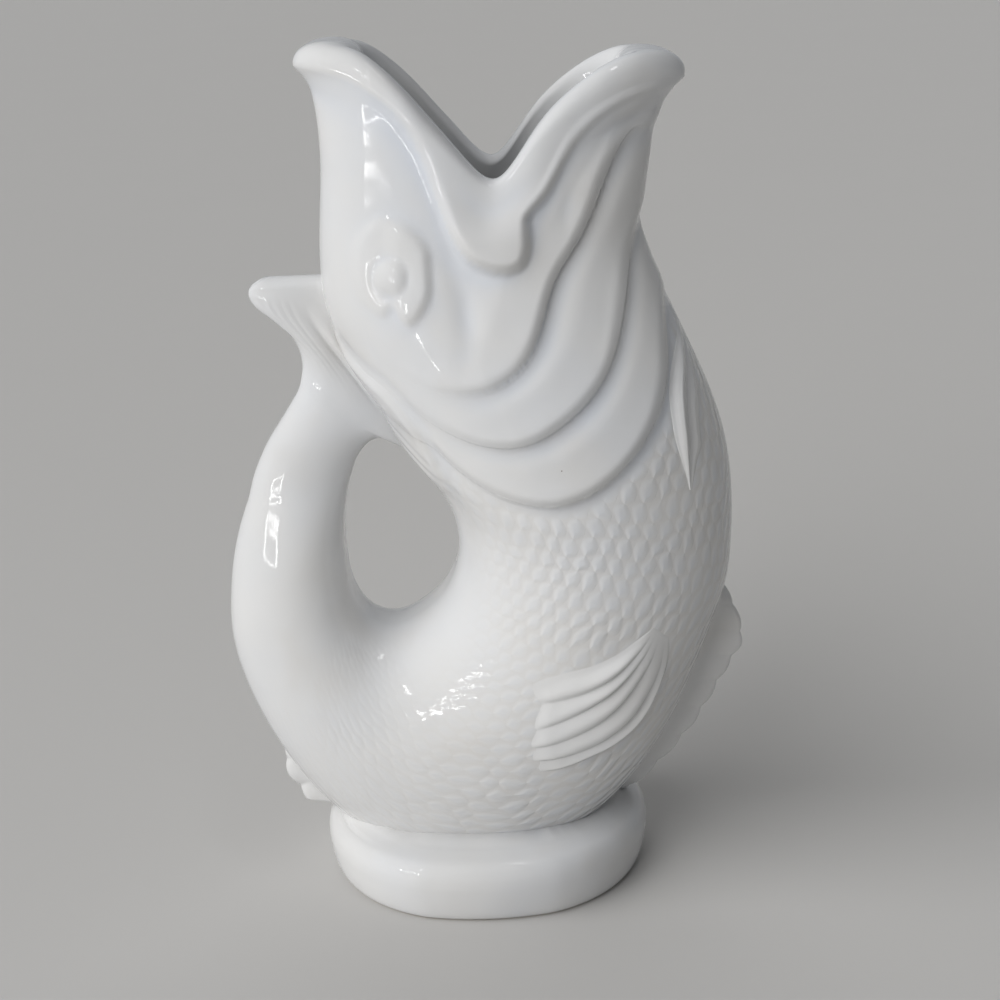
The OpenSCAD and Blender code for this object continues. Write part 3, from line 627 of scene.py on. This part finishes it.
middleFins = {
    "belly": {
        "stations": (10.1, 12.9), "shares": [0.06, 0.6, 1, 0.93, 0.84, 0.76, 0.64, 0.5, 0.34], "rows": 161,
        "reach": 12.74, "scallops": 9, "dent": 1.15, "flute": 0.16, "ends": (8, 7)},
    "back": {
        "stations": (15.4, 16.6), "shares": [0.7, 1, 1, 0.9, 0.7, 0.1], "rows": 81,
        "reach": 7.9, "scallops": 3.6, "dent": 1.5, "flute": 0.34, "ends": (6, 5)},
    "columns": 16, "sunk": 2.2,
    "thick": [(0, 1), (0.5, 0.72), (0.86, 0.46), (1, 0.4)],  # of the root, from the root to the edge
    "edge": 0.4,
    "edgeTurns": [25, 50, 72, 90],
    "pointed": 0.8, "flare": 2.0, "flareLong": 1.8,
    "above": 0.3,  # least height over the plinth
}


def makeMiddleFin(name, cut):
    first, last = cut["stations"]
    edge = fish["finRoot"] / 2 * middleFins["edge"]
    rows = []
    for f in np.linspace(0, 1, cut["rows"]):
        s = first + (last - first) * f
        root = skinPoint(s, 0.0, -1)
        root = np.array([root[0], max(root[2], fish["seat"])])
        slope = skinPoint(s + 0.02, 0.0, -1) - skinPoint(s - 0.02, 0.0, -1)
        out = np.array([-slope[2], slope[0]]) / math.hypot(slope[0], slope[2])
        high = cut["reach"] * float(curveAlong(cut["shares"], f * (len(cut["shares"]) - 1)))
        wave = abs(math.sin(math.pi * f * cut["scallops"]))
        high = high - min(cut["dent"], high / 2) * (1 - wave ** middleFins["pointed"])
        closing = smooth01(min(f * cut["ends"][0], (1 - f) * cut["ends"][1]) + 0.02) ** 0.7
        q = np.concatenate([
            np.linspace(-middleFins["sunk"], high - edge, middleFins["columns"]),
            high - edge + edge * np.sin(np.radians(middleFins["edgeTurns"]))])
        thick = np.interp(np.clip(q / high, 0, 1), *zip(*middleFins["thick"])) * fish["finRoot"] / 2
        thick = thick * (1 - cut["flute"] * (1 - wave) * smooth01(q / high * 1.4 - 0.3))
        thick = thick + middleFins["flare"] * np.exp(-np.maximum(q, 0) / middleFins["flareLong"])
        rounding = np.sqrt(np.clip(1 - (np.clip(q - (high - edge), 0, edge) / edge) ** 2, 0, 1))
        thick = thick * rounding * closing
        thick[-1] = 0
        places = root[None, :] + out[None, :] * q[:, None]
        low = fish["seat"] + middleFins["above"]
        places[:, 1] = np.where(q > 0.2, np.maximum(places[:, 1], low), places[:, 1])
        near = np.stack([places[:, 0], -thick, places[:, 1]], -1)
        far = near[-2::-1] * np.array([1, -1, 1])
        rows.append(np.concatenate([near, far, near[:1]]))
    return addSheet(name, np.array(rows))


bellyFin = makeMiddleFin("bellyFin", middleFins["belly"])
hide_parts("belly_fin")
backFin = makeMiddleFin("backFin", middleFins["back"])
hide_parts("back_fin")
print("stage: middle fins made")


def pressOn(name, side, s, t, high, under):  # a thin piece on the flank's relief; side 1 mirrors it
    high[[0, -1]] = -under
    high[:, [0, -1]] = -under
    flank = Flank(s, t)
    base = flank.points + flank.out * reliefAt(flank)[..., None]
    top = base + flank.out * high[..., None]
    bottom = base - flank.out * under
    rows = np.concatenate([top, bottom[:, -2::-1]], 1)
    if side > 0:
        rows = rows * np.array([1, -1, 1])
    return addSheet(name, rows)


pectoral = {
    "rise": 2.5,
    # station and turn of the creases between the rays, each from the blunt end to the root
    "creases": [
        [(11.76, 107), (11.46, 96.8), (11.2, 86), (10.92, 76.5), (10.68, 69.5), (10.45, 63.0)],
        [(12.03, 97.5), (11.82, 90.8), (11.52, 82), (11.2, 74), (10.84, 67.2), (10.45, 61.8)],
        [(12.36, 92.2), (12.06, 86.2), (11.7, 78.8), (11.33, 71.2), (10.92, 64.9), (10.47, 60.4)],
        [(12.54, 87.0), (12.24, 80.2), (11.88, 72.8), (11.46, 66.0), (10.98, 60.9), (10.49, 58.6)],
        [(12.62, 81.8), (12.31, 72.8), (11.96, 64.3), (11.56, 57.6), (11.04, 54.2), (10.52, 56.6)],
        [(12.62, 75.0), (12.31, 65.8), (11.94, 56.4), (11.48, 50.2), (10.98, 48.8), (10.54, 54.4)],
    ],
    "rows": [(0, 0.06, 7), (0.06, 0.9, 90), (0.9, 1, 24)],
    "columns": 19, "under": 0.5, "endBulge": 0.10, "valley": 0.50, "melt": 0.14,
}


def makePectoral(name, side):
    lines = np.array(pectoral["creases"], float)[:, ::-1]
    count, points = lines.shape[:2]
    rays = count - 1
    f = joined(pectoral["rows"])
    c = np.concatenate([[0, 0.03]] + [k + np.linspace(0, 1, pectoral["columns"])[1:] for k in range(rays)])
    lines = curveAlong(lines.transpose(1, 0, 2).reshape(points, -1), f * (points - 1)).reshape(len(f), count, 2)
    ray = np.clip(c, 0, rays - 1e-6)
    k = ray.astype(int)
    x = (ray - k)[None, :, None]
    places = lines[:, k] * (1 - x) + lines[:, k + 1] * x
    f, x, ray = f[:, None], x[..., 0], ray[None, :]
    s = places[..., 0] + pectoral["endBulge"] * np.sin(np.pi * x) * ramp(f, 0.7, 0.3)
    first = ray < 1  # the first ray swells out of the flank
    crown = np.where(first, np.sin(np.pi * x ** 1.9), np.sin(np.pi * x ** 1.5) ** 0.8)
    base = pectoral["valley"] * np.where(first, smooth01(x), 1)
    level = base + (1 - base) * crown * np.where(first, smooth01(x / 0.95), 1)
    parted = ramp(f, 0.06, 0.36)  # the rays run together at the root
    level = level * parted + 0.75 * np.sin(np.pi * ray / rays) ** 0.6 * (1 - parted)
    high = pectoral["rise"] * (0.32 + 0.68 * smooth01(f / 0.55)) * (1 - 0.72 * ramp(f, 0.45, 0.55)) * level
    high = high * smooth01(f / 0.2) * smooth01((rays - ray) / 0.5) * smooth01((1 - f) / 0.13 + 0.02)
    # it dips just under the skin along its edges, so that they melt into the flank
    edge = np.minimum(smooth01(f / 0.05), np.minimum(smooth01(ray / 0.22), smooth01((rays - ray) / 0.15)))
    high = high - pectoral["melt"] * (1 - edge)
    return pressOn(name, side, s, places[..., 1], high, pectoral["under"])


sideFins = []
for name, side, node in (("pectoralFinNear", -1, "pectoral_fin_near"), ("pectoralFinFar", 1, "pectoral_fin_far")):
    sideFins.append(makePectoral(name, side))
    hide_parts(node)
print("stage: pectoral fins made")

pelvic = {
    "ridge": [(4.55, 8), (4.92, 21), (5.46, 34), (6.0, 40.5), (6.66, 44), (7.45, 45)],
    "grain": (13.2, 0.83),  # millimetres a station and a degree of turn there
    # millimetres across the ridge, towards the belly, and the height there
    "section": [
        (-3.0, 0), (-2.0, 0.5), (-1.0, 1.5), (0, 2.0), (0.9, 1.5), (1.9, 0.5), (3.0, 0.1), (4.4, 0.3), (5.8, 0.65),
        (7.2, 0.4), (8.4, 0)],
    "rows": 81, "columns": 45, "under": 0.4, "leastTurn": 3,
}


def makePelvic(name, side):
    f = np.linspace(0, 1, pelvic["rows"])
    line = curveAlong(pelvic["ridge"], f * (len(pelvic["ridge"]) - 1)) * pelvic["grain"]
    run = np.gradient(line, axis=0)
    run /= np.linalg.norm(run, axis=1, keepdims=True)
    across, heights = np.array(pelvic["section"]).T
    c = np.linspace(across[0], across[-1], pelvic["columns"])[None, :]
    f = f[:, None]
    ends = smooth01((1 - f) / 0.3)
    spread = (0.35 + 0.65 * smooth01(f / 0.4)) * (0.12 + 0.88 * ends)
    s = (line[:, :1] + run[:, 1:] * c * spread) / pelvic["grain"][0]
    t = (line[:, 1:] - run[:, :1] * c * spread) / pelvic["grain"][1]
    high = np.interp(c, across, heights) * smooth01(f / 0.5 + 0.02) * (0.1 + 0.9 * ends)
    return pressOn(name, side, s, np.maximum(t, pelvic["leastTurn"]), high, pelvic["under"])


for name, side, node in (("pelvicFinNear", -1, "pelvic_fin_near"), ("pelvicFinFar", 1, "pelvic_fin_far")):
    sideFins.append(makePelvic(name, side))
    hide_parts(node)
print("stage: pelvic fins made")

plinth = {
    "long": 97.0, "wide": 86.96, "back": 3.0, "ring": 9.0,
    # underside: reach and height of its middle, then how far in from the ring, and height
    "middle": [(6.0, 3.5), (18.0, 3.5)],
    "hollow": [(4.2, 3.5), (3.0, 3.3), (1.8, 2.5), (0.9, 1.3), (0.35, 0.45), (-0.1, 0.06), (-0.5, 0), (-4.5, 0)],
    # side from the table up: how far it lies in from its widest line, and its height, in heights of the plinth
    "side": [
        (0.2, 0), (0.135, 0.045), (0.08, 0.15), (0.033, 0.33), (0.006, 0.51), (0, 0.62), (0.014, 0.74), (0.06, 0.85),
        (0.14, 0.93), (0.26, 0.97), (0.4, 1)],
    "top": [(2.5, 20.0), (7, 19.9), (12, 19.6), (24, 19.5)],  # how far in from the side's end, and height
    "topMiddle": (8.0, 19.5),
    "filletFrom": 19.2,
}


def makePlinth():
    half = (plinth["long"] - plinth["wide"]) / 2 * milli
    side = curveAlong(plinth["side"], np.linspace(0, len(plinth["side"]) - 1, 41)) * fish["seat"]
    foot, top = plinth["wide"] / 2 - side[0, 0], plinth["wide"] / 2 - side[-1, 0]
    inside = foot - plinth["ring"]
    rows = plinth["middle"] + [(inside - a, b) for a, b in plinth["hollow"]] + [(foot - 0.5, 0)]
    rows += [(plinth["wide"] / 2 - a, b) for a, b in side] + [(top - a, b) for a, b in plinth["top"]]
    rows.append(plinth["topMiddle"])
    bpy.ops.mesh.primitive_circle_add(
        vertices=160, radius=rows[0][0] * milli, fill_type="NOTHING",
        location=(0, 0, rows[0][1] * milli))
    piece = bpy.context.object
    piece.name = piece.data.name = "footPlinth"
    bpy.ops.object.transform_apply(location=True, rotation=True, scale=True)
    bpy.ops.object.mode_set(mode="EDIT")
    bpy.ops.mesh.select_all(action="SELECT")
    for here, nextRow in zip(rows, rows[1:]):
        bpy.ops.mesh.extrude_edges_move(TRANSFORM_OT_translate={"value": (0, 0, (nextRow[1] - here[1]) * milli)})
        grow = nextRow[0] / here[0]
        bpy.ops.transform.resize(value=(grow, grow, 1), center_override=(0, 0, nextRow[1] * milli))
    bpy.ops.mesh.select_all(action="DESELECT")
    bpy.ops.mesh.select_non_manifold(extend=False, use_boundary=True)
    bpy.ops.mesh.edge_face_add()
    bpy.ops.object.mode_set(mode="OBJECT")
    # the round is parted in the middle and drawn out to an oval, then set back under the belly
    places = np.zeros(len(piece.data.vertices) * 3)
    piece.data.vertices.foreach_get("co", places)
    places = places.reshape(-1, 3)
    reach = np.hypot(places[:, 0], places[:, 1])
    pull = np.where(reach > 1e-9, places[:, 0] / np.maximum(reach, 1e-9), 0)
    drawn = half * np.clip(pull * 3, -1, 1) * smooth01(reach / (inside * milli) * 2)
    places[:, 0] += drawn - plinth["back"] * milli
    hugBelly(places)
    piece.data.vertices.foreach_set("co", places.ravel())
    piece.data.update()
    return finishPiece(piece, 50)


def hugBelly(places):  # the top rises to the belly in a soft fillet of glaze
    stations = np.arange(12.5, 16, 0.04)
    turns = np.arange(0, 88, 1.0)
    skin = skinPoint(stations[:, None], turns[None, :], -1).reshape(-1, 3)
    line = skin[np.abs(skin[:, 2] - fish["seat"]) < 0.35][:, :2]
    line = np.concatenate([line, line * np.array([1, -1])]) * milli
    for k in np.nonzero(places[:, 2] > plinth["filletFrom"] * milli)[0]:
        d = np.hypot(*(line - places[k, :2]).T).min() / milli
        places[k, 2] += 2.4 * math.exp(-(d / 2.6) ** 1.2) * milli


footPlinth = makePlinth()
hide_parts("foot_plinth")
print("stage: plinth made")


class Flow:  # a value in a shader that sums can be written with
    def __init__(self, recipe, socket):
        self.recipe = recipe
        self.socket = socket

    def maths(self, operation, first, second=None, clamp=False):
        sockets = {0: first} if second is None else {0: first, 1: second}
        return self.recipe.node("ShaderNodeMath", {"operation": operation, "use_clamp": clamp}, sockets).flow(0)

    def __add__(self, other):
        return self.maths("ADD", self, other)

    __radd__ = __add__

    def __sub__(self, other):
        return self.maths("SUBTRACT", self, other)

    def __rsub__(self, other):
        return self.maths("SUBTRACT", other, self)

    def __mul__(self, other):
        return self.maths("MULTIPLY", self, other)

    __rmul__ = __mul__

    def __truediv__(self, other):
        return self.maths("DIVIDE", self, other)

    def __rtruediv__(self, other):
        return self.maths("DIVIDE", other, self)

    def __lt__(self, other):
        return self.maths("LESS_THAN", self, other)

    def __gt__(self, other):
        return self.maths("GREATER_THAN", self, other)

    def floor(self):
        return self.maths("FLOOR", self)

    def fract(self):
        return self.maths("FRACT", self)

    def size(self):
        return self.maths("ABSOLUTE", self)

    def sine(self):
        return self.maths("SINE", self)

    def clamped(self):
        return self.maths("ADD", self, 0.0, True)

    def smooth(self, start, stop):  # 0 at start, 1 at stop, softly between
        sockets = {"Value": self, "From Min": start, "From Max": stop, "To Min": 0.0, "To Max": 1.0}
        return self.recipe.node("ShaderNodeMapRange", {"interpolation_type": "SMOOTHSTEP"}, sockets).flow(0)


class MadeNode:
    def __init__(self, recipe, node):
        self.recipe = recipe
        self.node = node

    def flow(self, output):
        return Flow(self.recipe, self.node.outputs[output])


class Recipe:  # a material in the making, or the sky
    def __init__(self, name, kind="materials"):
        self.material = getattr(bpy.data, kind).new(name)
        self.material.use_nodes = True
        self.tree = self.material.node_tree
        self.tree.nodes.clear()
        ending = "ShaderNodeOutputWorld" if kind == "worlds" else "ShaderNodeOutputMaterial"
        self.output = self.tree.nodes.new(ending)

    def node(self, kind, settings=None, sockets=None):
        node = self.tree.nodes.new(kind)
        for key, value in (settings or {}).items():
            setattr(node, key, value)
        for key, value in (sockets or {}).items():
            if isinstance(value, Flow):
                self.tree.links.new(value.socket, node.inputs[key])
            else:
                node.inputs[key].default_value = value
        return MadeNode(self, node)

    def blend(self, share, first, second):  # of two colours
        sockets = {0: share, 6: first, 7: second}
        return self.node("ShaderNodeMix", {"data_type": "RGBA"}, sockets).flow(2)

    def noise(self, place, scale, detail):
        sockets = {"Vector": place, "Scale": scale, "Detail": detail, "Roughness": 0.5}
        return self.node("ShaderNodeTexNoise", {}, sockets).flow(0)

    def attribute(self, name):
        return self.node("ShaderNodeAttribute", {"attribute_name": name}).flow("Fac")

    def finish(self, shader):
        self.tree.links.new(shader.socket, self.output.inputs["Surface"])
        return self.material


glaze = {
    "white": (0.672, 0.668, 0.660, 1),
    "thick": (0.600, 0.632, 0.690, 1),  # faintly blue where the glaze lies thick
    "thin": (0.560, 0.520, 0.465, 1),  # warm: random patches of thin glaze, and painted shade in the hollows between the scales
    "speck": (0.16, 0.11, 0.08, 1),
    "bisque": (0.62, 0.56, 0.48, 1),
    "scaleLong": 7.0, "scaleWide": 4.3, "scaleLean": 32.0, "scaleDeep": 0.00035,
    "waveDeep": 0.00026, "peelDeep": 0.000006, "roughness": 0.045,
    "roughDrift": 0.04, "ior": 1.52,
    # scale and detail of each noise
    "drift": (22.0, 3.0),
    "wave": (75.0, 1.0),
    "peel": (700.0, 2.0),
    "warm": (38.0, 2.0),
    "scaleDrift": (95.0, 1.0),
    "scaleSway": (55.0, 1.0),
    "scaleFill": (48.0, 1.0),
    # cells to a metre, share of them without a speck, size of a speck in cells, its share and depth
    "speckScale": 95.0, "speckless": 0.93,
    "speckSize": (0.035, 0.012),
    "speckShare": 0.8, "speckDeep": 0.00005,
    "bisqueTop": (0.0002, 0.0007),  # metres over the table
    "bisqueRough": 0.6,
}


def scaleHeight(recipe, place):  # soft scales in rows along the body, each row half a scale on from the last
    skin = recipe.node("ShaderNodeUVMap", {"uv_map": "skinMap"}).flow(0)
    parts = recipe.node("ShaderNodeSeparateXYZ", {}, {0: skin})
    lean = math.radians(glaze["scaleLean"])
    along, across = parts.flow(0) * skinMap["long"], parts.flow(1) * skinMap["round"]
    drift = recipe.noise(place, *glaze["scaleDrift"]) - 0.5
    sway = recipe.noise(place, *glaze["scaleSway"]) - 0.5
    b = (across * math.cos(lean) - along * math.sin(lean)) / glaze["scaleWide"] + 90 + sway * 1.3
    odd = (b.floor() * 0.5).fract()
    a = (along * math.cos(lean) + across * math.sin(lean)) / glaze["scaleLong"] + odd + drift * 1.1
    u = a.fract()
    v = (b.fract() - 0.5).size()
    wide = (u * math.pi).sine() * 0.44 + 0.06
    return (wide - v).smooth(-0.14, 0.4) * (u * 0.4 + 0.6)


def makeGlaze(name, footRing=False, scaly=False):
    recipe = Recipe(name)
    place = recipe.node("ShaderNodeTexCoord").flow("Object")
    pool = recipe.attribute("poolShare")
    drift, wave, peel = (recipe.noise(place, *glaze[key]) for key in ("drift", "wave", "peel"))
    colour = recipe.blend(drift.smooth(0.35, 0.75) * 0.35 + pool * 0.5, glaze["white"], glaze["thick"])
    warm = recipe.noise(place, *glaze["warm"]).smooth(0.55, 0.8) * 0.22
    high = wave * glaze["waveDeep"] + peel * glaze["peelDeep"]
    if scaly:
        share = recipe.attribute("scaleShare")
        scale = scaleHeight(recipe, place)
        soft = recipe.noise(place, *glaze["scaleFill"]).smooth(0.3, 0.7) * 0.75 + 0.25
        high = high + scale * share * soft * glaze["scaleDeep"]
        # painted shade: the hollows between the scales take the darker warm colour
        warm = warm + (1 - scale.smooth(0.0, 0.4)) * share * 0.2
        colour = recipe.blend(scale.smooth(0.5, 1.0) * share * 0.35, colour, glaze["thick"])
    colour = recipe.blend(warm.clamped(), colour, glaze["thin"])
    cells = recipe.node("ShaderNodeTexVoronoi", {}, {"Vector": place, "Scale": glaze["speckScale"]})
    chance = recipe.node("ShaderNodeSeparateColor", {}, {0: cells.flow("Color")})
    more, least = glaze["speckSize"]
    size = chance.flow(1) * more + least
    speck = (1 - (cells.flow("Distance") / size).smooth(0.7, 1.2)) * (chance.flow(0) > glaze["speckless"])
    colour = recipe.blend(speck * glaze["speckShare"], colour, glaze["speck"])
    high = high - speck * glaze["speckDeep"]
    rough = glaze["roughness"] + drift * glaze["roughDrift"]
    if footRing:
        z = recipe.node("ShaderNodeSeparateXYZ", {}, {0: place}).flow(2)
        bare = 1 - z.smooth(*glaze["bisqueTop"])
        colour = recipe.blend(bare, colour, glaze["bisque"])
        rough = rough + bare * glaze["bisqueRough"]
    bump = recipe.node("ShaderNodeBump", {}, {"Strength": 1.0, "Distance": 1.0, "Height": high}).flow(0)
    sockets = {"Base Color": colour, "Roughness": rough, "IOR": glaze["ior"], "Normal": bump}
    return recipe.finish(recipe.node("ShaderNodeBsdfPrincipled", {}, sockets).flow(0))


def dress(piece, material):
    piece.data.materials.clear()
    piece.data.materials.append(material)


plainGlaze = makeGlaze("whiteGlaze")
scaledGlaze = makeGlaze("scaledGlaze", scaly=True)
plinthGlaze = makeGlaze("plinthGlaze", footRing=True)
for piece in [headSkin, bellyFin, backFin] + sideFins:
    dress(piece, plainGlaze)
dress(bodySkin, scaledGlaze)
dress(footPlinth, plinthGlaze)
print("stage: glazed")

studio = {
    "floor": (0.56, 0.55, 0.535, 1),
    "sky": (0.9, 0.93, 0.97, 1),
    "skyLevel": 0.14,
    "backLevel": 0.36,  # what the camera and the glaze see behind the floor
    # name, way it comes from, strength and spread: a broad light from the upper left and a weak one from behind
    "broad": [("windowLight", (-0.72, -0.52, 0.48), 2.95, 70), ("backLight", (0.0, 0.85, 0.5), 0.7, 60)],
    # the glaze mirrors four thin bars round a pane; all sizes are in metres
    "pane": {"place": (-0.63, -0.61, 0.19), "wide": 0.26, "high": 0.08, "upright": 0.016, "cross": 0.005, "glow": 22.0},
    # name, place, size, glow
    "lamps": [
        ("upperLamp", (-0.55, -0.68, 0.60), (0.03, 0.16), 12.0),
        ("topLamp", (0.2, -0.35, 1.5), (0.1, 0.4), 5.0)],
    "aim": (0.0, 0.0, 0.13),
}


def makeFloor():
    bpy.ops.mesh.primitive_circle_add(vertices=96, radius=14, fill_type="NGON", location=(0, 0, 0))
    floor = bpy.context.object
    floor.name = floor.data.name = "studioFloor"
    recipe = Recipe("paleFloor")
    place = recipe.node("ShaderNodeTexCoord").flow("Object")
    worn = recipe.noise(place, 6.0, 4.0) * 0.2
    dark = tuple(0.93 * c for c in studio["floor"][:3]) + (1,)
    sockets = {"Base Color": recipe.blend(worn, studio["floor"], dark), "Roughness": 0.85}
    dress(floor, recipe.finish(recipe.node("ShaderNodeBsdfPrincipled", {}, sockets).flow(0)))


def addLamp(name, place, size, glow):  # glow is how bright its face is
    bpy.ops.object.light_add(type="AREA", location=place)
    lamp = bpy.context.object
    lamp.name = name
    lamp.data.shape = "RECTANGLE"
    lamp.data.size, lamp.data.size_y = size
    lamp.data.energy = glow * math.pi * size[0] * size[1]
    lamp.rotation_euler = (Vector(studio["aim"]) - Vector(place)).to_track_quat("-Z", "Y").to_euler()


def makeLamps():
    for row in studio["lamps"]:
        addLamp(*row)
    pane = studio["pane"]
    place = Vector(pane["place"])
    over = (Vector(studio["aim"]) - place).cross(Vector((0, 0, 1))).normalized()
    up = over.cross(Vector(studio["aim"]) - place).normalized()
    over, up = over * pane["wide"] / 2, up * pane["high"] / 2
    upright, cross = (pane["upright"], pane["high"]), (pane["wide"], pane["cross"])
    for name, shift, size in (
            ("paneLeft", -over, upright), ("paneRight", over, upright),
            ("paneSill", -up, cross), ("paneHead", up, cross)):
        addLamp(name, tuple(place + shift), size, pane["glow"])
    # broad lights would show as white discs in the glaze, so it doesn't mirror them
    for name, way, strength, spread in studio["broad"]:
        bpy.ops.object.light_add(type="SUN", location=way)
        broad = bpy.context.object
        broad.name = name
        broad.data.energy = strength
        broad.data.angle = math.radians(spread)
        broad.visible_glossy = False
        broad.rotation_euler = Vector(way).to_track_quat("Z", "Y").to_euler()


def makeSky():
    recipe = Recipe("studioSky", "worlds")
    rays = recipe.node("ShaderNodeLightPath")
    seen = (rays.flow("Is Camera Ray") + rays.flow("Is Glossy Ray") + rays.flow("Is Transmission Ray")).clamped()
    level = seen * (studio["backLevel"] - studio["skyLevel"]) + studio["skyLevel"]
    sky = recipe.node("ShaderNodeBackground", {}, {"Color": studio["sky"], "Strength": level})
    bpy.context.scene.world = recipe.finish(sky.flow(0))


makeFloor()
makeLamps()
makeSky()
bpy.context.scene.view_settings.view_transform = "Standard"
print("stage: studio set")
